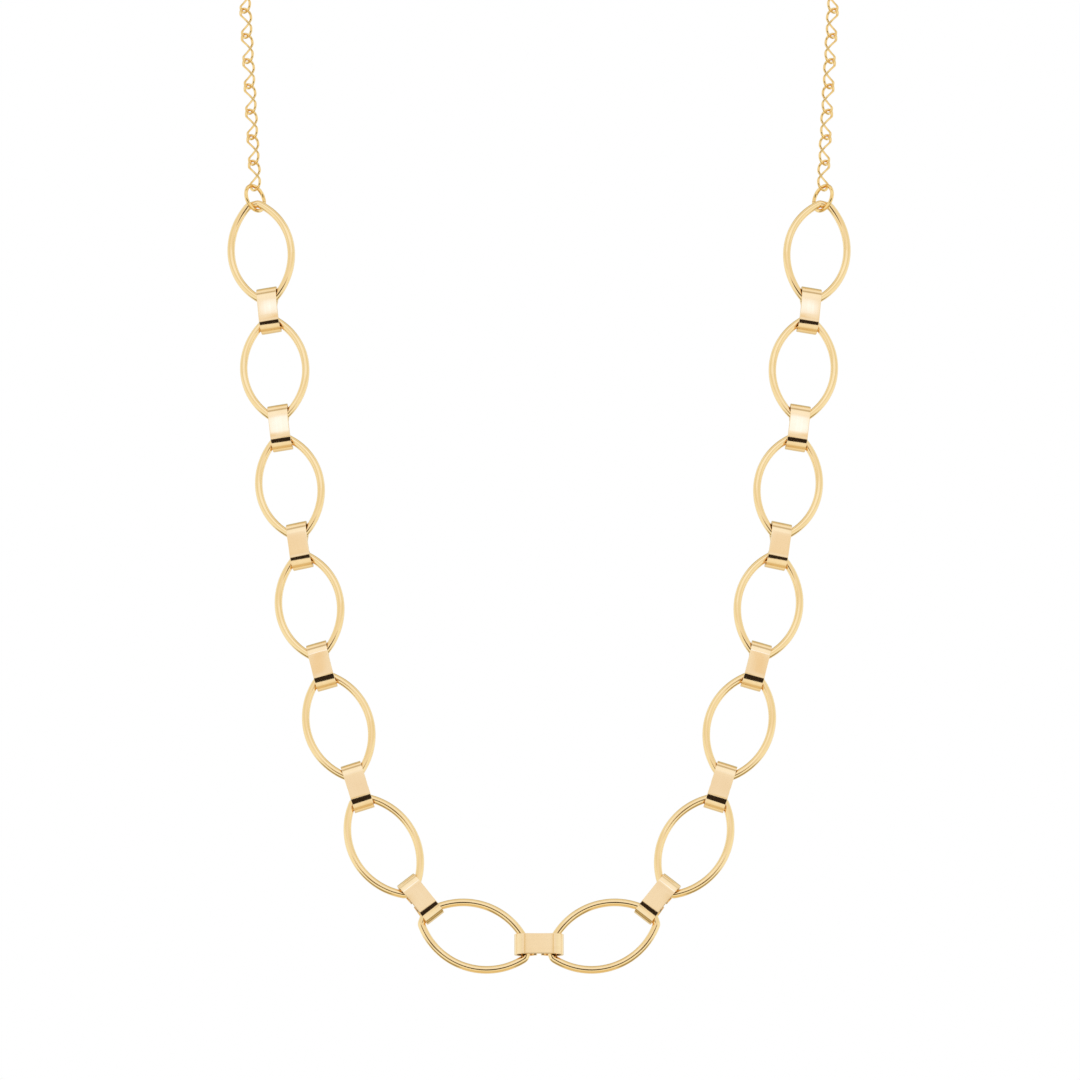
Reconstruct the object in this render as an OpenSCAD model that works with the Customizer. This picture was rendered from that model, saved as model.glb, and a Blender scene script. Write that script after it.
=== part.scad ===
// Choker of pointed oval rings, joined by folded strip connectors, on a fine twisted chain.
// Millimetres. +X is the wearer's left, +Y points back to the nape and +Z points up.
// The origin is the middle of the clasp, where the loop rests on the nape.
// Left and right are as a viewer in front sees them. The left half is modelled, and the right half
// is its mirror image.

/* [Oval rings] */
// Diameter of the wire that the oval rings are bent from
ring_wire = 1.0; // [0.9:0.02:1.0]
// Radius of the two long arcs of a ring, at the middle of the wire
ring_arc_r = 9.0; // [9.0:0.02:9.1]
// Half of a ring's width, at the middle of the wire
ring_half_w = 4.18; // [4.1:0.02:4.2]
// Distance from a ring's centre to the middle of its flat end bar
ring_end = 7.1; // [7.04:0.02:7.12]
// Radius of the tight bend beside an end bar, at the middle of the wire
ring_corner_r = 0.65; // [0.6:0.05:0.7]

/* [Connectors] */
// Length of a connector over both of its rolled ends
conn_len = 6.52; // [6.5:0.01:6.56]
// Length of the middle connector, where the two lowest rings lie closer
middle_len = 6.42; // [6.4:0.01:6.5]
// Width of the strip
conn_w = 2.7; // [2.5:0.05:2.7]
// Thickness of the strip
conn_sheet = 0.3; // [0.28:0.01:0.32]
// Outer radius of a rolled end
conn_roll_r = 1.2; // [1.18:0.01:1.22]
// How far the middle of the front plate stands proud of the rolls
conn_bow = 0.15; // [0.1:0.01:0.2]
// How far a roll goes on past straight back, in degrees
conn_overturn = 30; // [26:1:31]
// Gap between the two lips behind the plate
conn_lip_gap = 0.6; // [0.5:0.1:1.2]

/* [Jump rings] */
// Outer diameter of a jump ring
jump_d = 4.1; // [4.0:0.05:4.2]
// Wire diameter of a jump ring
jump_wire = 0.5; // [0.45:0.01:0.5]
// Turn of a jump ring about the strand, front edge outwards, in degrees
jump_turn = 39; // [37:1:43]

/* [Fine chain] */
// Links in each half of the chain
link_count = 22; // [21:1:23]
// Distance from one link to the next
link_pitch = 3.88; // [3.8:0.02:3.92]
// Wire diameter of a link
link_wire = 0.36; // [0.34:0.01:0.38]
// Outer width of a link where it lies flat
link_w = 2.24; // [2.2:0.02:2.3]
// Turn between the two ends of a link, in degrees
link_twist = 90; // [84:1:96]
// Clear gap between links, and between a link and what it hangs from
link_gap = 0.1; // [0.08:0.01:0.14]

/* [Clasp] */
// Outer diameter of the round clasp
clasp_d = 6.0; // [5.8:0.1:6.2]
// Thickness of the clasp's tube
clasp_tube = 1.0; // [0.9:0.05:1.0]
// Outer diameter of the small eye on the clasp
eye_d = 2.4; // [2.3:0.05:2.5]
// Wire thickness of the small eye
eye_wire = 0.6; // [0.5:0.05:0.6]

/* [Hidden] */
ring_names_left = [for (k = [1:7]) str("ring_left_", k)];
ring_names_right = [for (k = [1:7]) str("ring_right_", k)];
conn_names_left = [for (k = [1:6]) str("connector_left_", k)];
conn_names_right = [for (k = [1:6]) str("connector_right_", k)];
other_names = ["connector_middle", "jump_ring_left", "jump_ring_right", "chain_left", "chain_right", "clasp"];

$fn = 48;

gold = [0.93, 0.78, 0.52];
gold_light = [0.96, 0.84, 0.62];
gold_deep = [0.86, 0.68, 0.38];

// Where each ring of the left half hangs, as a worn choker lies: ring 1 is the highest, ring 7 the lowest.
// The places are measured from a point in front of the middle of the loop.
// tilt turns a ring's long axis out of upright in the front view, lean tips its top back,
// and yaw turns its outer side back. All angles are in degrees.
RING_PLACES = [
    //  x      y       z     tilt  lean  yaw
    [-37.60, 32.70,  38.90,  9.7, 20.8, 14.0],
    [-35.50, 26.50,  22.95,  5.5, 21.8,  5.0],
    [-33.20, 20.15,   7.10, 11.0, 21.9, 10.5],
    [-30.35, 13.90,  -8.70,  9.9, 21.1, 12.0],
    [-26.30,  8.10, -24.45, 16.6, 19.4,  5.0],
    [-20.26,  3.10, -39.90, 28.8, 16.8,  1.5],
    [ -8.34,  0.00, -51.49, 71.5, 13.3,  1.0]
];
RING_COUNT = len(RING_PLACES);

// How far a connector slides off the line between its two rings where the strand bends
CONN_SLIDES = [
    // across back  along
    [0.00,  0.02,  0.00],
    [0.00,  0.00,  0.00],
    [0.00,  0.00,  0.00],
    [0.02,  0.00,  0.00],
    [0.03,  0.00,  0.00],
    [0.20, -0.02,  0.19]
];
middle_slide = [0.45, 0.00, 0.00];

// A point on a ring's long axis that the ring swings about inside a connector
pivot_u = 5.0;

// Directions of a ring: across its width, back through it, and up its long axis
function turn_z(v, a) = [v.x * cos(a) + v.y * sin(a), v.y * cos(a) - v.x * sin(a), v.z];
function turn_y(v, a) = [v.x * cos(a) - v.z * sin(a), v.y, v.x * sin(a) + v.z * cos(a)];
function turn_x(v, a) = [v.x, v.y * cos(a) + v.z * sin(a), v.z * cos(a) - v.y * sin(a)];
function ring_dir(k, v) = turn_x(turn_y(turn_z(v, RING_PLACES[k - 1][5]), RING_PLACES[k - 1][3]),
                                 RING_PLACES[k - 1][4]);
function ring_place(k) = [RING_PLACES[k - 1][0], RING_PLACES[k - 1][1], RING_PLACES[k - 1][2]];
function ring_point(k, u) = ring_place(k) + u * ring_dir(k, [0, 0, 1]);

function unit(v) = v / norm(v);
function square_to(v, axis) = unit(v - (v * axis) * axis);

// A pose is a place and the directions of local X, Y and Z
module at_pose(pose) {
    multmatrix([
        [pose[1].x, pose[2].x, pose[3].x, pose[0].x],
        [pose[1].y, pose[2].y, pose[3].y, pose[0].y],
        [pose[1].z, pose[2].z, pose[3].z, pose[0].z],
        [0, 0, 0, 1]
    ]) children();
}
function pose_of(place, back, along) =
    let (b = square_to(back, along)) [place, cross(b, along), b, along];

function ring_pose(k) =
    [ring_place(k), ring_dir(k, [1, 0, 0]), ring_dir(k, [0, 1, 0]), ring_dir(k, [0, 0, 1])];

// A connector lies between the pivot points of two neighbouring rings, with their mean facing
function slid(pose, slide) =
    [pose[0] + pose[1] * slide.x + pose[2] * slide.y + pose[3] * slide.z, pose[1], pose[2], pose[3]];
function conn_pose(k) =
    let (low = ring_point(k + 1, pivot_u),
         high = ring_point(k, -pivot_u),
         back = ring_dir(k, [0, 1, 0]) + ring_dir(k + 1, [0, 1, 0]))
    slid(pose_of((low + high) / 2, back, unit(high - low)), CONN_SLIDES[k - 1]);

function middle_pose() =
    let (low = ring_point(RING_COUNT, -pivot_u),
         back = ring_dir(RING_COUNT, [0, 1, 0]))
    slid(pose_of([0, low.y, low.z], [0, back.y, back.z], [-1, 0, 0]), middle_slide);

// The fine chain starts at the jump ring on the end bar of ring 1 and climbs in a straight line,
// then turns in and back to the nape along its hidden stretch. Angles are in degrees.
strand_out = 3.9;
strand_lean = 22.5;
nape_lean = 62;
nape_roll = -73;
first_hidden_link = 8;

// Half of a link's length and of its width, at the middle of the wire
link_end = (link_pitch + link_wire + link_gap) / 2;
link_half = link_w / 2 - link_wire / 2;

// The jump ring hangs off the middle of the end bar, and the first link off the jump ring's middle
jump_r = (jump_d - jump_wire) / 2;
jump_seat = jump_r - (jump_wire + ring_wire) / 2 - link_gap;
jump_hang = jump_r - (jump_wire + link_wire) / 2 - link_gap;
jump_aside = 0.33;
chain_aside = 0.12;

// The chain's two ends stop short of each other by the clasp and its eye. The eye is sunk a little
// way into the clasp's tube.
clasp_r = (clasp_d - clasp_tube) / 2;
eye_r = (eye_d - eye_wire) / 2;
eye_sink = 0.2;
eye_x = clasp_r + clasp_tube / 2 + eye_r + eye_wire / 2 - eye_sink;
clasp_span = clasp_r + eye_x + eye_r;
eye_reach = (eye_wire + link_wire) / 2 + link_gap;
tube_reach = (clasp_tube + link_wire) / 2 + link_gap;
chain_end_x = (clasp_span - eye_reach - tube_reach) / 2;

// How far along the hidden stretch a link is, from 0 to 1
function hidden_part(i) = max(0, (i - first_hidden_link + 1) / (link_count - first_hidden_link));
function heading(i, haste) = (90 + strand_out) * (1 - pow(1 - hidden_part(i), haste)) - strand_out;
function lean_at(i) = strand_lean + (nape_lean - strand_lean) * hidden_part(i);
function link_dir(i, haste) =
    let (turn = heading(i, haste), lean = lean_at(i))
    [sin(turn), cos(turn) * sin(lean), cos(turn) * cos(lean)];

function total(list) = [for (v = list) 1] * list;
function chain_reach(haste) =
    total([for (i = [0:link_count - 1]) link_dir(i, haste).x]) * link_pitch
    + (link_end - link_pitch / 2) * (link_dir(0, haste).x + 1);

strand_dir = link_dir(0, 1);
jump_place = ring_point(1, ring_end) + ring_dir(1, [jump_aside, 0, 0]) + strand_dir * jump_seat;
chain_start = jump_place + [chain_aside, 0, 0] + strand_dir * jump_hang;

// The haste of the hidden turn is the one that brings the last link level with the clasp
function find_haste(low, high, steps) =
    let (mid = (low + high) / 2)
    steps == 0 ? mid
    : chain_start.x + chain_reach(mid) < -chain_end_x
        ? find_haste(mid, high, steps - 1)
        : find_haste(low, mid, steps - 1);
haste = find_haste(0.5, 6, 40);

function link_places(i, place) =
    i == link_count ? []
    : concat([place],
             link_places(i + 1, place + (link_dir(i, haste) + link_dir(i + 1, haste)) * link_pitch / 2));
// Along its hidden stretch the chain also rolls over, so that the clasp lies flat on the neck
function roll_step(i) = nape_roll * (hidden_part(i) - hidden_part(i - 1));
function link_backs(i, back) =
    i == link_count ? []
    : let (dir = link_dir(i, haste),
           b = square_to(back, dir),
           rolled = b * cos(roll_step(i)) + cross(dir, b) * sin(roll_step(i)))
      concat([rolled], link_backs(i + 1, rolled));

LINK_PLACES = link_places(0, chain_start + link_dir(0, haste) * link_end);
LINK_BACKS = link_backs(0, [0, 1, 0]);
function link_pose(i) = pose_of(LINK_PLACES[i], LINK_BACKS[i], link_dir(i, haste));

function jump_pose() =
    let (face = square_to([0, 1, 0], strand_dir),
         side = cross(face, strand_dir))
    pose_of(jump_place, unit(face * sin(jump_turn) - side * cos(jump_turn)), strand_dir);

last_link = link_pose(link_count - 1);
nape = [0, last_link[0].y, last_link[0].z];
function clasp_pose() =
    let (half = link_twist / 2,
         flat = -(last_link[1] * sin(half) + last_link[2] * cos(half)))
    pose_of([chain_end_x + tube_reach - clasp_r, nape.y, nape.z], flat, cross([1, 0, 0], flat));

// One pointed oval ring, long axis along Z, seen from the front along Y
arc_drop = ring_arc_r - ring_half_w;
corner_u = ring_end - ring_corner_r;
corner_v = sqrt(pow(ring_arc_r - ring_corner_r, 2) - pow(corner_u, 2)) - arc_drop;
arc_half = atan2(corner_u, corner_v + arc_drop);

module wire_arc(r, from, angle, wire) {
    rotate([90, 0, 0])
        rotate([0, 0, from])
            rotate_extrude(angle = angle)
                translate([r, 0])
                    circle(d = wire);
}

// The tight bends swell a little, and reach a few degrees over the ends of the wires that they join
bend_swell = 0.03;
bend_over = 4;

module ring_half() {
    translate([-arc_drop, 0, 0])
        wire_arc(ring_arc_r, -arc_half, 2 * arc_half, ring_wire);
    for (end = [0, 1])
        mirror([0, 0, end])
            translate([corner_v, 0, corner_u])
                wire_arc(ring_corner_r, arc_half - bend_over, 90 - arc_half + 2 * bend_over,
                         ring_wire + bend_swell);
}

module oval_ring() {
    ring_half();
    rotate([0, 0, 180]) ring_half();
    for (end = [-ring_end, ring_end])
        translate([-corner_v, 0, end])
            rotate([0, 90, 0])
                cylinder(d = ring_wire, h = 2 * corner_v);
}

// A connector's roll reaches a little way into its plate and into its own lip
roll_over = 2;
lip_over = 0.05;

// A sector that reaches well past the curves that it cuts
wedge_steps = 4;
module wedge(from, to, r) {
    reach = 1.5 * r;
    turn = (to - from) / wedge_steps;
    polygon([[0, 0], for (i = [0:wedge_steps]) reach * [cos(from + i * turn), sin(from + i * turn)]]);
}

// The strip's edge view: X is along the strand and Y is out to the front
module conn_profile(len) {
    roll_z = len / 2 - conn_roll_r;
    plate_y = conn_roll_r + conn_bow;
    plate_r = (pow(roll_z, 2) + pow(plate_y, 2) - pow(conn_roll_r, 2)) / (2 * conn_bow);
    plate_half = asin(roll_z / (plate_r - conn_roll_r));
    roll_mid_r = conn_roll_r - conn_sheet / 2;
    lip_start = [roll_z - roll_mid_r * sin(conn_overturn), -roll_mid_r * cos(conn_overturn)];
    lip_len = (lip_start.x - conn_lip_gap / 2) / cos(conn_overturn);
    translate([0, plate_y - plate_r])
        intersection() {
            difference() {
                circle(r = plate_r);
                circle(r = plate_r - conn_sheet);
            }
            wedge(90 - plate_half, 90 + plate_half, plate_r);
        }
    for (side = [0, 1])
        mirror([side, 0]) {
            translate([roll_z, 0])
                intersection() {
                    difference() {
                        circle(r = conn_roll_r);
                        circle(r = conn_roll_r - conn_sheet);
                    }
                    wedge(-90 - conn_overturn, 90 - plate_half + roll_over, conn_roll_r);
                }
            translate(lip_start)
                rotate(180 - conn_overturn)
                    translate([-lip_over, -conn_sheet / 2])
                        square([lip_len + lip_over, conn_sheet]);
        }
}

// One folded connector: its front faces -Y, its strip runs along Z and its width lies along X
module folded_connector(len) {
    rotate([90, 0, 90])
        rotate(90)
            translate([0, 0, -conn_w / 2])
                linear_extrude(conn_w)
                    conn_profile(len);
}

// One link: two sides and two round ends, turned by link_twist about its length. The ends stay flat
// beyond twist_reach from the middle, and the wire has wire_sides sides.
arc_centre = link_end - link_half;
twist_reach = 0.9;
wire_sides = 6;
side_stops = [-1, -1/3, 1/3, 1];
end_stops = [22.5, 67.5, 112.5, 157.5];
corner_r = link_half / cos(22.5);
function link_path() = concat(
    [for (s = side_stops) [link_half, s * twist_reach]],
    [for (a = end_stops) [corner_r * cos(a), arc_centre + corner_r * sin(a)]],
    [for (s = side_stops) [-link_half, -s * twist_reach]],
    [for (a = end_stops) [-corner_r * cos(a), -arc_centre - corner_r * sin(a)]]);
function twist_at(p) = link_twist / 2 * sin(90 * max(-1, min(1, p / twist_reach)));
function twisted(q) = [-q.x * sin(twist_at(q.y)), -q.x * cos(twist_at(q.y)), q.y];

module twisted_link() {
    path = link_path();
    count = len(path);
    points = [for (q = path) twisted(q)];
    wire_points = [
        for (i = [0:count - 1])
            let (ahead = unit(points[(i + 1) % count] - points[(i + count - 1) % count]),
                 flat = twist_at(path[i].y),
                 up = square_to([-cos(flat), sin(flat), 0], ahead),
                 out = cross(ahead, up))
            for (j = [0:wire_sides - 1])
                points[i] + link_wire / 2 * (up * cos(360 * j / wire_sides) + out * sin(360 * j / wire_sides))
    ];
    faces = [
        for (i = [0:count - 1])
            for (j = [0:wire_sides - 1])
                let (a = i * wire_sides + j,
                     b = i * wire_sides + (j + 1) % wire_sides,
                     c = ((i + 1) % count) * wire_sides + j,
                     d = ((i + 1) % count) * wire_sides + (j + 1) % wire_sides)
                each [[a, c, b], [b, c, d]]
    ];
    polyhedron(points = wire_points, faces = faces);
}

// The round clasp with its small eye, flat in the XZ plane, eye to the left
module round_clasp() {
    wire_arc(clasp_r, 0, 360, clasp_tube);
    translate([-eye_x, 0, 0])
        wire_arc(eye_r, 0, 360, eye_wire);
}

module placed(right) {
    mirror([right ? 1 : 0, 0, 0])
        translate(-nape)
            children();
}

module ring_node(k, right) {
    color(gold) placed(right) at_pose(ring_pose(k)) oval_ring();
}

module connector_node(k, right) {
    color(gold_light) placed(right) at_pose(conn_pose(k)) folded_connector(conn_len);
}

module connector_middle() {
    color(gold_light) placed(false) at_pose(middle_pose()) folded_connector(middle_len);
}

module jump_ring_node(right) {
    color(gold_deep) placed(right) at_pose(jump_pose()) wire_arc(jump_r, 0, 360, jump_wire);
}

module chain_node(right) {
    color(gold)
        placed(right)
            for (i = [0:link_count - 1])
                at_pose(link_pose(i)) twisted_link();
}

module clasp() {
    color(gold_deep) placed(false) at_pose(clasp_pose()) round_clasp();
}

for (k = [1:RING_COUNT]) {
    ring_node(k, false);
    ring_node(k, true);
}
for (k = [1:RING_COUNT - 1]) {
    connector_node(k, false);
    connector_node(k, true);
}
connector_middle();
jump_ring_node(false);  // jump_ring_left
jump_ring_node(true);  // jump_ring_right
chain_node(false);  // chain_left
chain_node(true);  // chain_right
clasp();
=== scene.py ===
# %% [markdown]
# # A choker of oval rings and folded strips
# Fourteen pointed oval rings of round wire hang in a loop, joined by thirteen short strips whose ends
# are rolled round the rings. A jump ring at each end carries a fine twisted chain up to a round clasp
# at the nape. The choker keeps the form that it has when it is worn.
#
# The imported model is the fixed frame: it says where each piece lies. This lesson models each kind of
# piece once, in millimetres, copies it to its places, and gives it a gold finish.

# %% Load the frame
import math

import bpy
from mathutils import Matrix, Vector


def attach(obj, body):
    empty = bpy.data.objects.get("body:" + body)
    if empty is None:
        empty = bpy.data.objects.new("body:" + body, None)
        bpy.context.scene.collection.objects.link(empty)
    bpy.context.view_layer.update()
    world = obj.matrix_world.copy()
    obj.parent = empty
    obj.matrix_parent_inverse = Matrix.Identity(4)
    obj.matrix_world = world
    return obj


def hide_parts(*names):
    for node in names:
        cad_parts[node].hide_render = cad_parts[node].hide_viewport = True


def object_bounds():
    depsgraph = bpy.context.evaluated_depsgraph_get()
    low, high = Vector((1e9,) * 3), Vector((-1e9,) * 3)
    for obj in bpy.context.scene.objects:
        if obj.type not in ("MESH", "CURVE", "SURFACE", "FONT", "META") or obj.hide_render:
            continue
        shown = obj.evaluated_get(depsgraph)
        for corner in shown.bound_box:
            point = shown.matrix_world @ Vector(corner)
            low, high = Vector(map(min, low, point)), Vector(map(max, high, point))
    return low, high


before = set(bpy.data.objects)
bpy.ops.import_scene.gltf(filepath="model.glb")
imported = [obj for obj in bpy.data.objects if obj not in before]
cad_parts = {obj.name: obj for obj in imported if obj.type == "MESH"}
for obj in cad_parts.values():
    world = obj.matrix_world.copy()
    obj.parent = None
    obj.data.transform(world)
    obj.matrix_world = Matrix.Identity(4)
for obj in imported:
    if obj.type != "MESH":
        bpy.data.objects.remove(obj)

cad_low, cad_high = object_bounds()
MM = 0.001
print("frame box in mm:", [round(c / MM, 2) for c in (*cad_low, *cad_high)])

# %% [markdown]
# ## Camera
# The photograph was taken from straight in front with a long lens, so the near and far parts of the
# loop are shown at nearly the same scale. Making the camera first keeps every later choice honest,
# because each piece can be seen as the photo shows it. Places are worked out in millimetres from the
# middle of the photo. The frame's origin lies at the nape, so NAPE is taken off each of them.

# %% Camera
NAPE = Vector((0.0, 66.187, 100.686))
CAMERA_SIDE, CAMERA_AWAY = 0.13, 800.0
PIXEL_MM, PHOTO_PIXELS = 0.13, 1080
SENSOR_MM = 36.0
CLIP_NEAR, CLIP_FAR = 0.05, 50.0

camera_data = bpy.data.cameras.new("camera")
camera = bpy.data.objects.new("camera", camera_data)
bpy.context.scene.collection.objects.link(camera)
camera.location = (Vector((CAMERA_SIDE, -CAMERA_AWAY, 0.0)) - NAPE) * MM
camera.rotation_euler = (math.radians(90), 0, 0)
camera_data.sensor_width = SENSOR_MM
camera_data.lens = SENSOR_MM * CAMERA_AWAY / (PIXEL_MM * PHOTO_PIXELS)
camera_data.clip_start = CLIP_NEAR
camera_data.clip_end = CLIP_FAR
bpy.context.scene.camera = camera
print("camera at", camera.location, "lens", round(camera_data.lens, 1), "mm")

# %% [markdown]
# ## Where the pieces lie
# The same few numbers that place the solids place the finished pieces. A ring has a place, a tilt in
# the front view, a backward lean and a yaw. A strip lies on the line between two rings. The chain
# climbs in a straight line from the jump ring, and then turns in and back to the nape.
# Each pose is a matrix whose columns are the piece's own across, back and along directions.

# %% Places of the rings and strips
RING_PLACES = [  # x, y, z in mm, then tilt, lean and yaw in degrees
    (-37.60, 32.70, 38.90, 9.7, 20.8, 14.0),
    (-35.50, 26.50, 22.95, 5.5, 21.8, 5.0),
    (-33.20, 20.15, 7.10, 11.0, 21.9, 10.5),
    (-30.35, 13.90, -8.70, 9.9, 21.1, 12.0),
    (-26.30, 8.10, -24.45, 16.6, 19.4, 5.0),
    (-20.26, 3.10, -39.90, 28.8, 16.8, 1.5),
    (-8.34, 0.00, -51.49, 71.5, 13.3, 1.0),
]
STRIP_SLIDES = [  # across, back and along, in mm
    (0.00, 0.02, 0.00),
    (0.00, 0.00, 0.00),
    (0.00, 0.00, 0.00),
    (0.02, 0.00, 0.00),
    (0.03, 0.00, 0.00),
    (0.20, -0.02, 0.19),
]
MIDDLE_SLIDE = (0.45, 0.0, 0.0)
PIVOT = 5.0  # from a ring's middle to the point that a strip aims at, in mm
LEFT_TO_RIGHT = Matrix.Scale(-1, 4, (1, 0, 0))
print(len(RING_PLACES), "rings and", len(STRIP_SLIDES), "strips on each side")


# %% Poses of the rings and strips
def pose(place, across, back, along):
    """The matrix that sets a piece at a place with its own three directions."""
    turned = Matrix((across, back, along)).transposed().to_4x4()
    return Matrix.Translation(place) @ turned


def square_to(vector, axis):
    return (vector - vector.dot(axis) * axis).normalized()


def facing(place, back, along):
    """A pose with a given along, and its back as near as it can be to the given back."""
    b = square_to(Vector(back), along)
    return pose(place, b.cross(along), b, along)


def slid(matrix, slide):
    return matrix @ Matrix.Translation(slide)


def ring_pose(k):
    x, y, z, tilt, lean, yaw = RING_PLACES[k - 1]
    turned = (
        Matrix.Rotation(-math.radians(lean), 4, "X")
        @ Matrix.Rotation(-math.radians(tilt), 4, "Y")
        @ Matrix.Rotation(-math.radians(yaw), 4, "Z")
    )
    return Matrix.Translation((x, y, z)) @ turned


def ring_point(k, u, across=0.0):
    return ring_pose(k) @ Vector((across, 0, u))


def ring_back(k):
    return ring_pose(k).to_3x3() @ Vector((0, 1, 0))


def strip_pose(k):
    low, high = ring_point(k + 1, PIVOT), ring_point(k, -PIVOT)
    back = ring_back(k) + ring_back(k + 1)
    return slid(facing((low + high) / 2, back, (high - low).normalized()), STRIP_SLIDES[k - 1])


def middle_pose():
    low, back = ring_point(7, -PIVOT), ring_back(7)
    place = Vector((0, low.y, low.z))
    return slid(facing(place, (0, back.y, back.z), Vector((-1, 0, 0))), MIDDLE_SLIDE)


print("ring 7 centre in mm:", [round(c, 2) for c in ring_point(7, 0)])

# %% Sizes of the wire pieces, in mm and degrees
RING_WIRE, RING_END = 1.0, 7.1
JUMP_OUTER, JUMP_WIRE, JUMP_TURN = 4.1, 0.5, 39.0
LINKS, LINK_PITCH, LINK_WIRE, LINK_WIDTH, LINK_GAP = 22, 3.88, 0.36, 2.24, 0.1
LINK_TWIST = 90.0
CLASP_OUTER, CLASP_TUBE, EYE_OUTER, EYE_WIRE, EYE_SINK = 6.0, 1.0, 2.4, 0.6, 0.2
STRAND_OUT, STRAND_LEAN, NAPE_LEAN, NAPE_ROLL, FIRST_HIDDEN = 3.9, 22.5, 62.0, -73.0, 8
JUMP_ASIDE, CHAIN_ASIDE = 0.33, 0.12
SLOWEST, QUICKEST, HALVINGS = 0.5, 6.0, 40

link_end = (LINK_PITCH + LINK_WIRE + LINK_GAP) / 2
jump_r = (JUMP_OUTER - JUMP_WIRE) / 2
jump_seat = jump_r - (JUMP_WIRE + RING_WIRE) / 2 - LINK_GAP
jump_hang = jump_r - (JUMP_WIRE + LINK_WIRE) / 2 - LINK_GAP
clasp_r = (CLASP_OUTER - CLASP_TUBE) / 2
eye_r = (EYE_OUTER - EYE_WIRE) / 2
eye_x = clasp_r + CLASP_TUBE / 2 + eye_r + EYE_WIRE / 2 - EYE_SINK
tube_reach = (CLASP_TUBE + LINK_WIRE) / 2 + LINK_GAP
eye_reach = (EYE_WIRE + LINK_WIRE) / 2 + LINK_GAP
chain_end_x = (clasp_r + eye_x + eye_r - eye_reach - tube_reach) / 2
print("clasp over its eye:", round(clasp_r + CLASP_TUBE / 2 + eye_x + EYE_OUTER / 2, 2), "mm")


# %% Poses of the jump ring, the links and the clasp
def hidden_part(i):
    """How far link i is along the part that turns in to the nape, from 0 at its start."""
    return max(0.0, (i - FIRST_HIDDEN + 1) / (LINKS - FIRST_HIDDEN))


def link_direction(i, haste):
    """Where link i points. A greater haste turns the strand in sooner."""
    f = min(1.0, hidden_part(i))
    turn = math.radians((90 + STRAND_OUT) * (1 - (1 - f) ** haste) - STRAND_OUT)
    lean = math.radians(STRAND_LEAN + (NAPE_LEAN - STRAND_LEAN) * hidden_part(i))
    return Vector((math.sin(turn), math.cos(turn) * math.sin(lean), math.cos(turn) * math.cos(lean)))


def chain_reach(haste):
    """How far the links bring the chain from the jump ring towards the middle."""
    reach = sum(link_direction(i, haste).x for i in range(LINKS)) * LINK_PITCH
    return reach + (link_end - LINK_PITCH / 2) * (link_direction(0, haste).x + 1)


strand = link_direction(0, 1.0)
jump_place = ring_point(1, RING_END, JUMP_ASIDE) + strand * jump_seat
chain_start = jump_place + Vector((CHAIN_ASIDE, 0, 0)) + strand * jump_hang

# The haste that brings the last link to the clasp is found by halving the range that it lies in.
slow, quick = SLOWEST, QUICKEST
for _ in range(HALVINGS):
    haste = (slow + quick) / 2
    if chain_start.x + chain_reach(haste) < -chain_end_x:
        slow = haste
    else:
        quick = haste

link_poses = []
place, back = chain_start + strand * link_end, Vector((0, 1, 0))
for i in range(LINKS):
    along = link_direction(i, haste)
    back = square_to(back, along)
    roll = math.radians(NAPE_ROLL * (hidden_part(i) - hidden_part(i - 1)))
    back = back * math.cos(roll) + along.cross(back) * math.sin(roll)
    link_poses.append(facing(place, back, along))
    place = place + (along + link_direction(min(i + 1, LINKS), haste)) * LINK_PITCH / 2

face = square_to(Vector((0, 1, 0)), strand)
side = face.cross(strand)
jump_turn = math.radians(JUMP_TURN)
jump_pose = facing(jump_place, face * math.sin(jump_turn) - side * math.cos(jump_turn), strand)

last = link_poses[-1].to_3x3()
half_twist = math.radians(LINK_TWIST / 2)
flat = -(last.col[0] * math.sin(half_twist) + last.col[1] * math.cos(half_twist))
nape = link_poses[-1].translation
clasp_place = Vector((chain_end_x + tube_reach - clasp_r, nape.y, nape.z))
clasp_pose = facing(clasp_place, flat, Vector((1, 0, 0)).cross(flat).normalized())
print("haste", round(haste, 3), "nape in mm", [round(c, 3) for c in nape])

# %% [markdown]
# ## Helpers for modelling
# Each shape starts as one loop or row of points, and grows by extruding and spinning its open end,
# as wire and strip are bent on a bench. Blender's operators act on whatever is selected, so each
# helper first selects what it needs. The shapes are drawn in millimetres, because operators such as
# bevel work best on sizes near one, and are scaled to metres when they are placed.

# %% Helpers for modelling
ABOUT_X, ABOUT_Y = (1, 0, 0), (0, 1, 0)
MERGE_MM = 0.002


def deselect_all():
    for o in bpy.context.selected_objects:
        o.select_set(False)


def begin(name):
    """The new primitive becomes a named piece with its place in its mesh, open in edit mode."""
    o = bpy.context.object
    o.name = o.data.name = name
    bpy.ops.object.transform_apply(location=True, rotation=True, scale=True)
    bpy.ops.object.mode_set(mode="EDIT")
    bpy.ops.mesh.select_mode(type="VERT")
    bpy.ops.mesh.select_all(action="SELECT")
    return o


def select_where(o, test):
    """Selects, in edit mode, the points whose place passes a test."""
    bpy.ops.mesh.select_all(action="DESELECT")
    bpy.ops.object.mode_set(mode="OBJECT")
    for v in o.data.vertices:
        v.select = bool(test(v.co))
    bpy.ops.object.mode_set(mode="EDIT")


def spin_end(centre, degrees, step, axis=ABOUT_Y):
    """Turns the selected end about an axis in small steps. Its new end stays selected.
    A positive angle turns +X towards +Z about Y, and +Y towards -Z about X."""
    count = max(1, round(abs(degrees) / step))
    bpy.ops.mesh.spin(steps=count, angle=math.radians(degrees), center=centre, axis=axis)


def push_end(move, count=1):
    """Extrudes the selected end along a straight line, in equal steps."""
    for _ in range(count):
        bpy.ops.mesh.extrude_region_move(TRANSFORM_OT_translate={"value": Vector(move) / count})


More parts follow.
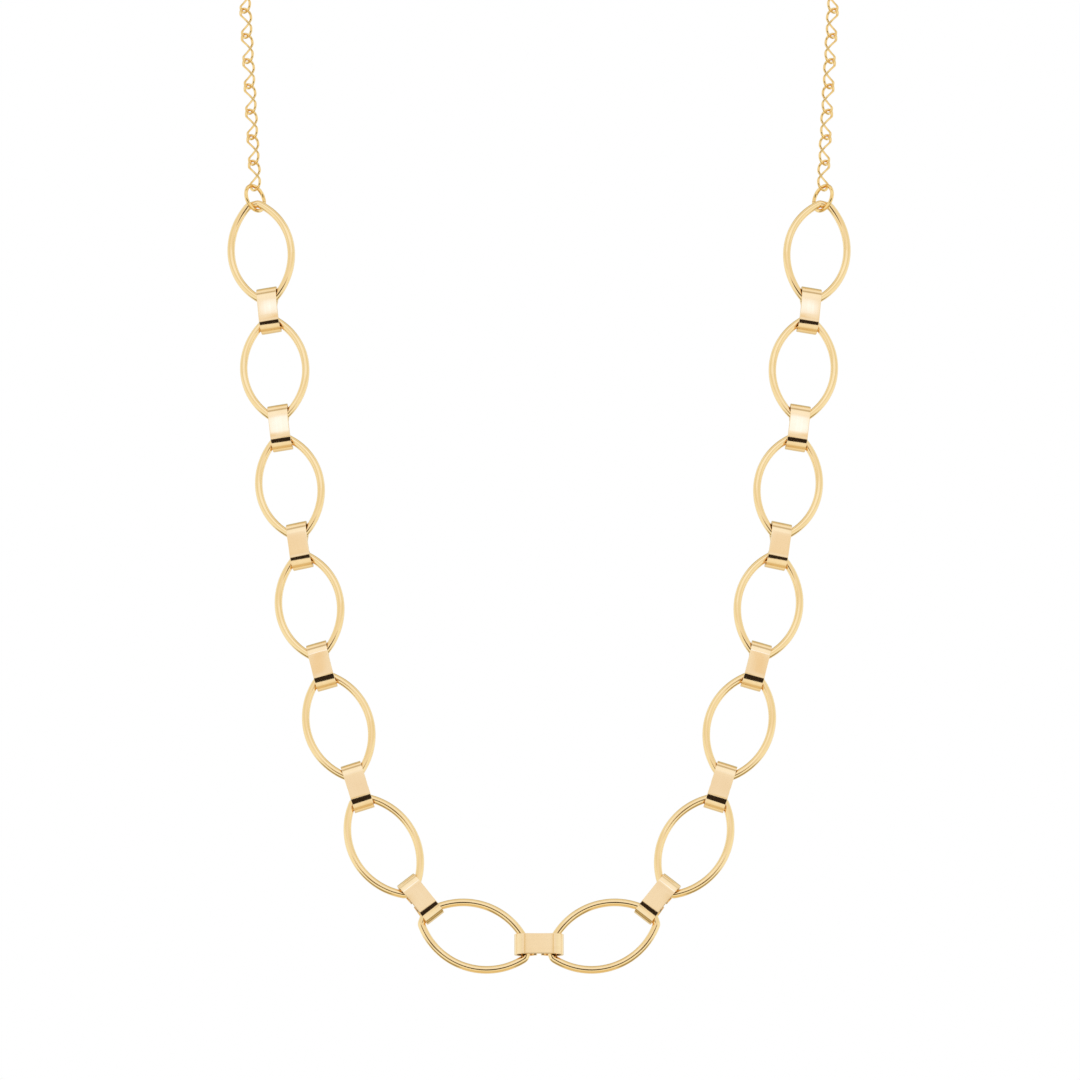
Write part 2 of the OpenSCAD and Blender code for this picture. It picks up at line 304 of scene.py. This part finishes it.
def close_up(o):
    """Merges the points where a shape meets itself, and turns all its faces outwards."""
    bpy.ops.mesh.select_all(action="SELECT")
    bpy.ops.mesh.remove_doubles(threshold=MERGE_MM)
    bpy.ops.mesh.normals_make_consistent(inside=False)
    bpy.ops.object.mode_set(mode="OBJECT")


def apply_modifier(o, kind, **settings):
    m = o.modifiers.new(kind.lower(), kind)
    for key, value in settings.items():
        setattr(m, key, value)
    bpy.ops.object.modifier_apply(modifier=m.name)


def smooth(o, degrees):
    """Shades a piece smoothly, apart from edges sharper than an angle."""
    deselect_all()
    o.select_set(True)
    bpy.context.view_layer.objects.active = o
    bpy.ops.object.shade_smooth_by_angle(angle=math.radians(degrees))
    size = [round(d, 2) for d in o.dimensions]
    print(o.name, "is", size, "mm with", len(o.data.polygons), "faces")


def placed(pattern, name, where, right=False):
    """A copy of a shape with its own mesh, at its pose in metres, with its place in its mesh."""
    o = pattern.copy()
    o.data = pattern.data.copy()
    o.name = o.data.name = name
    bpy.context.scene.collection.objects.link(o)
    matrix = Matrix.Scale(MM, 4) @ Matrix.Translation(-NAPE) @ where
    o.data.transform(LEFT_TO_RIGHT @ matrix if right else matrix)
    if right:
        o.data.flip_normals()
    return o


# %% [markdown]
# ## Oval rings
# On the bench, a ring is a length of round wire bent in a former: two long shallow arcs, four tight
# bends, and a short flat bar at each end that sits inside a strip's roll. A swept curve would do, but
# spinning the end of the wire about the centre of each bend gives clean even loops and exact radii.

# %% Model one oval ring
ARC_R, HALF_W, CORNER_R = 9.0, 4.18, 0.65
RING_SIDES, BAR_CUTS = 24, 4
ARC_STEP, CORNER_STEP = 3, 6  # degrees
WIRE_SMOOTH = 60  # degrees
arc_drop = ARC_R - HALF_W
corner_u = RING_END - CORNER_R
corner_v = math.sqrt((ARC_R - CORNER_R) ** 2 - corner_u ** 2) - arc_drop
arc_half = math.degrees(math.atan2(corner_u, corner_v + arc_drop))

deselect_all()
bpy.ops.mesh.primitive_circle_add(
    vertices=RING_SIDES, radius=RING_WIRE / 2, fill_type="NOTHING", location=(HALF_W, 0, 0)
)
oval = begin("oval_ring_pattern")
for s in (1, -1):
    spin_end((-s * arc_drop, 0, 0), arc_half, ARC_STEP)
    spin_end((s * corner_v, 0, s * corner_u), 90 - arc_half, CORNER_STEP)
    push_end((-2 * s * corner_v, 0, 0), BAR_CUTS)
    spin_end((-s * corner_v, 0, s * corner_u), 90 - arc_half, CORNER_STEP)
    spin_end((s * arc_drop, 0, 0), arc_half, ARC_STEP)
close_up(oval)
smooth(oval, WIRE_SMOOTH)

# %% [markdown]
# ## Folded strips
# A strip is cut from thin sheet, crowned a little along its front, and its two ends are rolled back
# round the end bars of two rings until their lips nearly meet behind. Here a small grid is the first
# lip, and its end row is spun and pushed along the strip's edge view. A hand bend starts gently, so
# the plate goes into each roll by a wider bend, and the middle strip's is the tightest. The plate is
# drawn in a little at its waist, as rolling the ends leaves it. The backs of the upper strips grow
# narrower towards the gap between their lips, because the photo shows nothing of them beside the
# plates. The lips of the lowest strips stay straight and show as gold specks below the plates.
# Solidify gives the sheet its thickness, and a bevel rounds the cut edges, which catch the light on
# real jewellery.

# %% Sizes of the strips, in mm and degrees
STRIP_WIDTH, SHEET, ROLL_R, OVERTURN, LIP_GAP = 2.7, 0.3, 1.2, 30.0, 0.6
EASE_TURN, PLATE_HALF = 28.0, 0.9
STRIP_LENGTH, STRIP_EASE_R, STRIP_CROWN = 6.52, 2.6, 0.01
MIDDLE_LENGTH, MIDDLE_EASE_R, MIDDLE_CROWN = 6.42, 1.8, 0.0
ROLL_STEP, EASE_STEP, PLATE_STEP = 8, 4, 0.3
EDGE_ROUND, EDGE_SEGMENTS, EDGE_ANGLE = 0.05, 3, 50
STRIP_SMOOTH = 30
WAIST, LIP_TAPER = 0.02, 0.3  # shares of the width that the waist and the lips' tips lose
FIRST_STRAIGHT = 5  # strips from this one down have straight lips
BACK_FROM = 0.1  # points behind this place belong to the backs of the rolls and the lips
COLUMN_NEAR = 0.01
COLUMNS = (-1.0, -0.94, -0.5, 0.0, 0.5, 0.94, 1.0)  # lines of points along it, by half widths
print("from roll to roll:", round(STRIP_LENGTH - 2 * ROLL_R, 2), "mm")


# %% Helpers for the strips
def narrow_rows(o, test, share):
    """Narrows each row of points that passes a test, by a share that depends on its height."""
    bpy.ops.object.mode_set(mode="OBJECT")
    rows = sorted({round(v.co.z, 3) for v in o.data.vertices if test(v.co)})
    bpy.ops.object.mode_set(mode="EDIT")
    for z in rows:
        select_where(o, lambda p: test(p) and round(p.z, 3) == z)
        bpy.ops.transform.resize(value=(1 - share(z), 1, 1), center_override=(0, 0, 0))


def mark_places(o):
    """Each point remembers its place on the sheet, so that brush marks can follow the strip."""
    marks = o.data.attributes.new("on_sheet", "FLOAT_VECTOR", "POINT")
    for v in o.data.vertices:
        marks.data[v.index].vector = v.co


# %% Model the folded strips
def folded_strip(name, length, ease_r, crown, taper):
    """Bends one strip. Its crown lifts the middle by half of it and lowers the edges as much."""
    roll_z = length / 2 - ROLL_R
    end, half = math.radians(EASE_TURN), math.radians(PLATE_HALF)
    wider = ease_r - ROLL_R
    ease_y, ease_z = wider * math.cos(end), roll_z - wider * math.sin(end)
    plate_r = ease_r + ease_z / math.sin(half)
    plate_y = ease_y + (plate_r - ease_r) * math.cos(half)
    roll_turn = 180 + OVERTURN - EASE_TURN
    mid_r = ROLL_R - SHEET / 2
    slope = math.radians(OVERTURN)
    lip_y, lip_z = mid_r * math.cos(slope), roll_z - mid_r * math.sin(slope)
    lip_length = (lip_z - LIP_GAP / 2) / math.cos(slope)
    tip_y = lip_y - lip_length * math.sin(slope)

    deselect_all()
    bpy.ops.mesh.primitive_grid_add(
        x_subdivisions=len(COLUMNS) - 1, y_subdivisions=1, size=1,
        location=(0, (lip_y + tip_y) / 2, -(lip_z + LIP_GAP / 2) / 2),
        rotation=(slope - math.pi / 2, 0, 0),
    )
    bpy.context.object.scale = (STRIP_WIDTH, lip_length, 1)
    o = begin(name)
    for k, column in sorted(enumerate(COLUMNS), key=lambda pair: -abs(pair[1])):
        x = STRIP_WIDTH * (k / (len(COLUMNS) - 1) - 0.5)
        aside = STRIP_WIDTH / 2 * column - x
        rise = crown * (0.5 - column ** 2)
        select_where(o, lambda p: abs(p.x - x) < COLUMN_NEAR)
        bpy.ops.transform.translate(value=(aside, rise * math.cos(slope), rise * math.sin(slope)))
    select_where(o, lambda p: p.z < -(lip_z + LIP_GAP / 2) / 2)
    spin_end((0, 0, -roll_z), roll_turn, ROLL_STEP, ABOUT_X)
    spin_end((0, ease_y, -ease_z), EASE_TURN - PLATE_HALF, EASE_STEP, ABOUT_X)
    spin_end((0, plate_y, 0), 2 * PLATE_HALF, PLATE_STEP, ABOUT_X)
    spin_end((0, ease_y, ease_z), EASE_TURN - PLATE_HALF, EASE_STEP, ABOUT_X)
    spin_end((0, 0, roll_z), roll_turn, ROLL_STEP, ABOUT_X)
    push_end((0, tip_y - lip_y, LIP_GAP / 2 - lip_z))

    narrow_rows(o, lambda p: p.y < 0, lambda z: WAIST * max(0.0, 1 - (z / roll_z) ** 2))
    narrow_rows(o, lambda p: p.y > BACK_FROM, lambda z: taper * (length / 2 - abs(z)) / (length / 2))
    close_up(o)
    apply_modifier(o, "SOLIDIFY", thickness=SHEET, offset=0.0)
    apply_modifier(
        o, "BEVEL", width=EDGE_ROUND, segments=EDGE_SEGMENTS, limit_method="ANGLE",
        angle_limit=math.radians(EDGE_ANGLE),
    )
    smooth(o, STRIP_SMOOTH)
    mark_places(o)
    return o


high_strip = folded_strip("high_strip_pattern", STRIP_LENGTH, STRIP_EASE_R, STRIP_CROWN, LIP_TAPER)
low_strip = folded_strip("low_strip_pattern", STRIP_LENGTH, STRIP_EASE_R, STRIP_CROWN, 0.0)
middle_strip = folded_strip("middle_strip_pattern", MIDDLE_LENGTH, MIDDLE_EASE_R, MIDDLE_CROWN, 0.0)

# %% [markdown]
# ## Jump rings
# A jump ring is one turn of wire, cut from a coil and pressed shut, so a fine seam is left where its
# two ends meet. The wire's section is spun all but a hair of the way round, and each end is filled.

# %% Model one jump ring
JUMP_SIDES = 20
JUMP_STEP, SEAM = 5, 1.2  # degrees

deselect_all()
bpy.ops.mesh.primitive_circle_add(
    vertices=JUMP_SIDES, radius=JUMP_WIRE / 2, fill_type="NGON", location=(jump_r, 0, 0)
)
jump = begin("jump_ring_pattern")
spin_end((0, 0, 0), 360 - SEAM, JUMP_STEP)
close_up(jump)
smooth(jump, WIRE_SMOOTH)

# %% [markdown]
# ## Twisted links
# The fine chain is a twisted cable chain: each link is a long oval, soldered shut, whose two ends are
# turned a quarter turn from each other so that the next link lies flat. The flat oval is made first,
# and the Simple Deform modifier twists its middle alone, between two limits.

# %% Model one twisted link
LINK_SIDES, LINK_CUTS, LINK_STEP = 12, 12, 15
TWIST_REACH = 0.9  # how far the twist reaches from the link's middle, in mm
link_half = LINK_WIDTH / 2 - LINK_WIRE / 2
link_centre = link_end - link_half

deselect_all()
bpy.ops.mesh.primitive_circle_add(
    vertices=LINK_SIDES, radius=LINK_WIRE / 2, fill_type="NOTHING",
    location=(0, link_half, -link_centre),
)
link = begin("link_pattern")
for s in (1, -1):
    push_end((0, 0, 2 * s * link_centre), LINK_CUTS)
    spin_end((0, 0, s * link_centre), -180, LINK_STEP, ABOUT_X)
close_up(link)
link_length = 2 * link_end + LINK_WIRE
apply_modifier(
    link, "SIMPLE_DEFORM", deform_method="TWIST", deform_axis="Z", angle=-math.radians(LINK_TWIST),
    limits=(0.5 - TWIST_REACH / link_length, 0.5 + TWIST_REACH / link_length),
)
smooth(link, WIRE_SMOOTH)

# %% [markdown]
# ## Clasp
# The clasp is hidden at the nape in the photo, so it is a plain round one: a turned tube with a small
# eye beside it. A union joins the two into one skin. It leaves odd faces where they meet, so these
# are cut into triangles and the thinnest of them are dissolved, which keeps the skin closed.

# %% Model the clasp
CLASP_SIDES, EYE_SIDES = 24, 16
CLASP_STEP, EYE_STEP, CLASP_SMOOTH = 6, 9, 40  # degrees
SLIVER_MM = 0.001


def closed_turn(name, centre_x, r, wire, sides, step):
    """A whole ring of round wire."""
    deselect_all()
    bpy.ops.mesh.primitive_circle_add(
        vertices=sides, radius=wire / 2, fill_type="NOTHING", location=(centre_x + r, 0, 0)
    )
    o = begin(name)
    spin_end((centre_x, 0, 0), 360, step)
    close_up(o)
    return o


eye = closed_turn("eye", -eye_x, eye_r, EYE_WIRE, EYE_SIDES, EYE_STEP)
round_body = closed_turn("clasp_pattern", 0, clasp_r, CLASP_TUBE, CLASP_SIDES, CLASP_STEP)
apply_modifier(round_body, "BOOLEAN", operation="UNION", object=eye, solver="EXACT")
bpy.ops.object.mode_set(mode="EDIT")
bpy.ops.mesh.select_all(action="SELECT")
bpy.ops.mesh.quads_convert_to_tris(ngon_method="BEAUTY")
bpy.ops.mesh.dissolve_degenerate(threshold=SLIVER_MM)
bpy.ops.object.mode_set(mode="OBJECT")
smooth(round_body, CLASP_SMOOTH)
bpy.data.objects.remove(eye)

# %% [markdown]
# ## Gold finishes
# All three finishes are gold plate, a metal, so their colour is in the reflection. Wire that has been
# drawn and polished is smooth with faint marks, and the sheet is brushed very finely along its
# length. The fine chain is a deeper gold, as in the photo. A material is written as sums on sockets:
# the class below turns each sum into its Math node.

# %% A small class for shader sums
class Flow:
    """A socket of the material that is being made. Sums on it add Math nodes."""

    tree = None

    def __init__(self, socket):
        self.socket = socket

    @classmethod
    def node(cls, kind, settings=None, inputs=None, output=0):
        """Adds a node, sets its settings and then its sockets, and gives one of its outputs."""
        n = cls.tree.nodes.new(kind)
        for key, value in (settings or {}).items():
            if key == "stops":
                elements = n.color_ramp.elements
                while len(elements) < len(value):
                    elements.new(0.5)
                for stop, (at, colour) in zip(elements, value):
                    stop.position, stop.color = at, colour
            else:
                setattr(n, key, value)
        for key, value in (inputs or {}).items():
            if isinstance(value, Flow):
                cls.tree.links.new(value.socket, n.inputs[key])
            else:
                n.inputs[key].default_value = value
        return cls(n.outputs[output])

    def sum_with(self, operation, other, other_first=False):
        pair = (other, self) if other_first else (self, other)
        return Flow.node("ShaderNodeMath", {"operation": operation}, {0: pair[0], 1: pair[1]})

    def __add__(self, other):
        return self.sum_with("ADD", other)

    def __mul__(self, other):
        return self.sum_with("MULTIPLY", other)

    def __sub__(self, other):
        return self.sum_with("SUBTRACT", other)

    def __rsub__(self, other):
        return self.sum_with("SUBTRACT", other, True)

    __radd__, __rmul__ = __add__, __mul__


# %% Helpers for noise, colours and places
def noise(where, scale, detail):
    return Flow.node("ShaderNodeTexNoise", None, {"Vector": where, "Scale": scale, "Detail": detail})


def blend(share, a, b):
    """Mixes two colours, each a plain colour or a socket. A Mix node keeps all three channels:
    its colours go into its inputs 6 and 7 and come out at 2."""
    n = Flow.node("ShaderNodeMix", {"data_type": "RGBA"}, {0: share}, 2).socket.node
    for socket, colour in ((n.inputs[6], a), (n.inputs[7], b)):
        if isinstance(colour, Flow):
            Flow.tree.links.new(colour.socket, socket)
        else:
            socket.default_value = (*colour, 1)
    return Flow(n.outputs[2])


def object_place():
    return Flow.node("ShaderNodeTexCoord", output="Object")


def place_on_sheet():
    """The place on the flat strip, in metres like the object's own."""
    marked = Flow.node("ShaderNodeAttribute", {"attribute_name": "on_sheet"}, output="Vector")
    return Flow.node("ShaderNodeVectorMath", {"operation": "SCALE"}, {0: marked, "Scale": MM})


# %% What the gold finishes share
TONE_SPOTS, HAZE_SPOTS = 420.0, 1500.0  # how many there are to a metre
MARKS_IN_TONE, HAZE_IN_BUMP = 0.8, 0.4


def finish_of(name, pale, deep, rough, rough_spread, grain, grain_depth, grain_from=object_place):
    """A gold finish between two tones. grain is how many marks there are to a metre, in X, Y and
    Z, and grain_depth is how deep they are in mm. Each noise lies round 0.5."""
    material = bpy.data.materials.new(name)
    material.use_nodes = True
    tree = Flow.tree = material.node_tree
    shader = next(n for n in tree.nodes if n.type == "BSDF_PRINCIPLED")
    where = object_place()
    marks_at = Flow.node("ShaderNodeMapping", None, {"Vector": grain_from(), "Scale": grain})
    tone = noise(where, TONE_SPOTS, 1.0)
    haze = noise(where, HAZE_SPOTS, 2.0)
    marks = noise(marks_at, 1.0, 2.0)
    share = tone + MARKS_IN_TONE * marks - MARKS_IN_TONE / 2
    tree.links.new(blend(share, pale, deep).socket, shader.inputs["Base Color"])
    roughness = rough + rough_spread * (haze + marks - 1.0)
    tree.links.new(roughness.socket, shader.inputs["Roughness"])
    relief = {"Strength": 1.0, "Distance": grain_depth * MM, "Height": marks + HAZE_IN_BUMP * haze}
    tree.links.new(Flow.node("ShaderNodeBump", None, relief).socket, shader.inputs["Normal"])
    shader.inputs["Metallic"].default_value = 1.0
    return material


# %% The three finishes
polished = finish_of(
    "polished_ring_gold", pale=(0.94, 0.71, 0.395), deep=(0.91, 0.66, 0.335),
    rough=0.06, rough_spread=0.03, grain=(900, 900, 900), grain_depth=0.001,
)
brushed = finish_of(
    "brushed_strip_gold", pale=(0.95, 0.735, 0.46), deep=(0.90, 0.665, 0.38),
    rough=0.08, rough_spread=0.04, grain=(2200, 2200, 110), grain_depth=0.0004,
    grain_from=place_on_sheet,
)
chain_gold = finish_of(
    "polished_chain_gold", pale=(0.94, 0.69, 0.33), deep=(0.86, 0.56, 0.21),
    rough=0.07, rough_spread=0.03, grain=(1200, 1200, 1200), grain_depth=0.001,
)
print("finishes:", [m.name for m in (polished, brushed, chain_gold)])

# %% [markdown]
# ## Setting the pieces in place
# Every copy stands for one solid of the frame, rides with the choker's one body, and takes one of the
# three gold finishes.

# %% Set the pieces in place
def dress(o, node, material):
    o.data.materials.clear()
    o.data.materials.append(material)
    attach(o, "root")
    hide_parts(node)


def joined(pieces, name):
    """Makes many small pieces one object with one mesh."""
    deselect_all()
    for o in pieces:
        o.select_set(True)
    bpy.context.view_layer.objects.active = pieces[0]
    bpy.ops.object.join()
    pieces[0].name = pieces[0].data.name = name
    return pieces[0]


for right, hand in ((False, "left"), (True, "right")):
    for k in range(1, len(RING_PLACES) + 1):
        o = placed(oval, f"oval_ring_{hand}_{k}", ring_pose(k), right)
        dress(o, f"ring_{hand}_{k}", polished)
    for k in range(1, len(STRIP_SLIDES) + 1):
        pattern = low_strip if k >= FIRST_STRAIGHT else high_strip
        o = placed(pattern, f"folded_strip_{hand}_{k}", strip_pose(k), right)
        dress(o, f"connector_{hand}_{k}", brushed)
    o = placed(jump, f"wire_jump_ring_{hand}", jump_pose, right)
    dress(o, f"jump_ring_{hand}", chain_gold)
    links = [placed(link, f"link_{hand}_{i}", p, right) for i, p in enumerate(link_poses)]
    dress(joined(links, f"fine_chain_{hand}"), f"chain_{hand}", chain_gold)

o = placed(middle_strip, "folded_strip_middle", middle_pose())
dress(o, "connector_middle", brushed)
o = placed(round_body, "round_clasp", clasp_pose)
dress(o, "clasp", chain_gold)
for o in (oval, high_strip, low_strip, middle_strip, jump, link, round_body):
    bpy.data.objects.remove(o)
print("pieces in place")

# %% [markdown]
# ## Stage
# Polished gold shows its surroundings more than itself, so the studio is what is really being
# painted here. The photo's ground is pure white with no shadow, which a white world and a glowing
# white floor give. The pieces themselves see a wide round tent, painted by direction: its colours
# run up the front, over the top and down behind, like the panels and the ceiling of a studio, and
# give way to plainer walls at the sides. A dark hood round the lens draws the thin dark lines on the
# wires and the dark band on each strip. Two small bright patches make the top strips glow. Warm
# light deepens the gold of the third strip and of the plates above the bands, and tan, brown and
# olive patches shade the low strips' plates, the streaks on the upper rings and the undersides.
# The tent is hidden from the camera, as it would stand outside the picture.

# %% White world and floor
WHITE = (1, 1, 1, 1)
FLOOR_DROP, FLOOR_SIZE = 0.03, 4.0
world = bpy.data.worlds.new("studio")
bpy.context.scene.world = world
world.use_nodes = True
world.node_tree.nodes["Background"].inputs["Color"].default_value = WHITE
bpy.context.scene.view_settings.view_transform = "Standard"


def glow(name):
    """A surface that only gives light, as opal glass lit from behind. It is white to begin with."""
    material = bpy.data.materials.new(name)
    material.use_nodes = True
    Flow.tree = material.node_tree
    Flow.tree.nodes.clear()
    light = Flow.node("ShaderNodeEmission", None, {"Color": WHITE, "Strength": 1.0})
    out = Flow.tree.nodes.new("ShaderNodeOutputMaterial")
    Flow.tree.links.new(light.socket, out.inputs["Surface"])
    return material


def stand(name, material, camera_sees):
    """Names the new primitive as a part of the stage, seen by the camera or by the gold alone."""
    o = bpy.context.object
    o.name = o.data.name = name
    o.data.materials.append(material)
    o.visible_camera = camera_sees
    o.visible_glossy = not camera_sees
    o.visible_diffuse = not camera_sees
    o.visible_shadow = False


deselect_all()
bpy.ops.mesh.primitive_plane_add(size=FLOOR_SIZE, location=(0, 0, cad_low.z - FLOOR_DROP))
stand("floor", glow("white_floor"), True)

# %% Colours of the tent
PITCH_COLOURS = [  # degrees up from the front axis, over the top to the back, and the light there
    (-180, (0.74, 0.70, 0.54)),
    (-115, (0.84, 0.78, 0.60)),
    (-98, (1.02, 0.98, 0.78)),
    (-86, (0.78, 0.65, 0.39)),
    (-56, (0.78, 0.65, 0.39)),
    (-42, (0.97, 0.94, 0.78)),
    (-16, (1.02, 1.03, 0.94)),
    (16, (0.96, 0.87, 0.70)),
    (20, (0.98, 0.99, 0.99)),
    (24, (0.985, 1.01, 1.06)),
    (31, (0.955, 0.945, 0.96)),
    (38, (1.00, 1.03, 1.06)),
    (44, (1.03, 1.10, 1.25)),
    (52, (1.08, 1.16, 1.28)),
    (70, (1.06, 1.14, 1.24)),
    (74, (0.66, 0.60, 0.48)),
    (83, (0.66, 0.60, 0.48)),
    (87, (1.02, 1.05, 1.05)),
    (103, (1.00, 1.00, 0.92)),
    (110, (0.80, 0.74, 0.55)),
    (125, (0.64, 0.61, 0.43)),
    (150, (0.62, 0.60, 0.42)),
    (180, (0.74, 0.70, 0.54)),
]
SIDE = (0.90, 0.91, 0.83)
RIM = (1.01, 1.06, 1.05)
DARK = (0.030, 0.021, 0.015)
WARM = (0.935, 0.845, 0.70)
TAN = (0.86, 0.78, 0.60)
BROWN = (0.30, 0.20, 0.10)
OLIVE = (0.42, 0.36, 0.20)
GLOW = (1.18, 1.46, 2.1)
print("tent colours:", len(PITCH_COLOURS), "along its pitch")

# %% Where the tent's patches lie
# Pitch, azimuth and elevation are in degrees. Up, back and across are parts of a unit direction.
# Where two places are given, a light begins at the first and is full at the second. A triple is a
# range and its soft edge.
WALL_ACROSS = (0.38, 0.6)
SIDE_UP, RIM_BACK = (0.22, 0.40), (0.0, 0.35)
HOOD_DROP, HOOD_SLOPE, HOOD_TOP, HOOD_SOFT, HOOD_ACROSS = 16, 45, 16.5, 0.5, (0.42, 0.38)
WARM_START, WARM_END = (32, 33), 48
WARM_FADE, WARM_FADE_RISE, WARM_RISE_ACROSS = 38.5, 5, (0.35, 0.39)
WARM_INNER, WARM_OUTER, WARM_OUTER_SHARE = (0.298, 0.324, 0.008), (0.368, 0.50, 0.012), 0.6
PATCHES = [  # pitch, across and light
    ((20, 24, 1.0), (0.08, 0.24, 0.03), TAN),
    ((-4, 14, 8.0), (0.42, 0.52, 0.05), BROWN),
    ((-120, -60, 8.0), (0.46, 0.85, 0.08), OLIVE),
]
SHEENS = [(22.2, 41.5, 3.2), (26.6, 40.7, 1.7)]  # azimuth, elevation and radius


# %% Helpers for painting by direction
def ease(value, start, end):
    """0 at start and before it, 1 at end and after it, with a soft change between them."""
    return Flow.node("ShaderNodeMapRange", {"interpolation_type": "SMOOTHSTEP"},
                     {"Value": value, "From Min": start, "From Max": end})


def within(value, low, high, soft):
    """1 between low and high, falling to 0 over a soft edge outside them."""
    return ease(value, low - soft, low) * ease(value, high + soft, high)


def sheen(azimuth, elevation, radius):
    """1 towards one direction, on both sides alike, falling to 0 over a radius in degrees."""
    a, e = math.radians(azimuth), math.radians(elevation)
    centre = (math.sin(a) * math.cos(e), -math.cos(a) * math.cos(e), math.sin(e))
    aim = Flow.node(
        "ShaderNodeVectorMath", {"operation": "DOT_PRODUCT"}, {0: mirrored, 1: centre}, "Value"
    )
    return ease(aim, math.cos(math.radians(radius)), 1.0)


# %% Light tent
TENT_RADIUS, TENT_SIDES, TENT_ROWS = 20.0, 96, 48

deselect_all()
bpy.ops.mesh.primitive_uv_sphere_add(
    radius=TENT_RADIUS, segments=TENT_SIDES, ring_count=TENT_ROWS, location=(cad_low + cad_high) / 2
)
tent_paint = glow("tent")
stand("light_tent", tent_paint, False)
Flow.tree = tent_paint.node_tree
ray = Flow.node("ShaderNodeVectorMath", {"operation": "NORMALIZE"}, {0: object_place()})
x, y, z = (Flow.node("ShaderNodeSeparateXYZ", None, {0: ray}, k) for k in range(3))
across = Flow.node("ShaderNodeMath", {"operation": "ABSOLUTE"}, {0: x})
mirrored = Flow.node("ShaderNodeCombineXYZ", None, {0: across, 1: y, 2: z})
pitch = Flow.node("ShaderNodeMath", {"operation": "ARCTAN2"}, {0: z, 1: 0.0 - y}) * (180 / math.pi)

# A colour ramp runs from 0 to 1, so the whole turn of 360 degrees is fitted to it.
stops = [(d / 360 + 0.5, (*colour, 1)) for d, colour in PITCH_COLOURS]
paint = Flow.node("ShaderNodeValToRGB", {"stops": stops}, {"Fac": pitch * (1 / 360) + 0.5})
walls = blend(ease(z, *SIDE_UP), RIM, blend(ease(y, *RIM_BACK), SIDE, RIM))
paint = blend(ease(across, *WALL_ACROSS), paint, walls)
hood_low = HOOD_SLOPE * across - HOOD_DROP
hood = within(pitch, hood_low, HOOD_TOP, HOOD_SOFT) * ease(across, *HOOD_ACROSS)
warm_fade = WARM_FADE + WARM_FADE_RISE * ease(across, *WARM_RISE_ACROSS)
warm_share = within(across, *WARM_INNER) + WARM_OUTER_SHARE * within(across, *WARM_OUTER)
warm_band = ease(pitch, *WARM_START) * ease(pitch, WARM_END, warm_fade)
paint = blend(warm_band * warm_share, paint, WARM)
for over_pitch, over_across, colour in PATCHES:
    paint = blend(within(pitch, *over_pitch) * within(across, *over_across), paint, colour)
for azimuth, elevation, radius in SHEENS:
    paint = blend(sheen(azimuth, elevation, radius), paint, GLOW)
paint = blend(hood, paint, DARK)
light = next(n for n in Flow.tree.nodes if n.type == "EMISSION")
Flow.tree.links.new(paint.socket, light.inputs["Color"])
print("stage set")
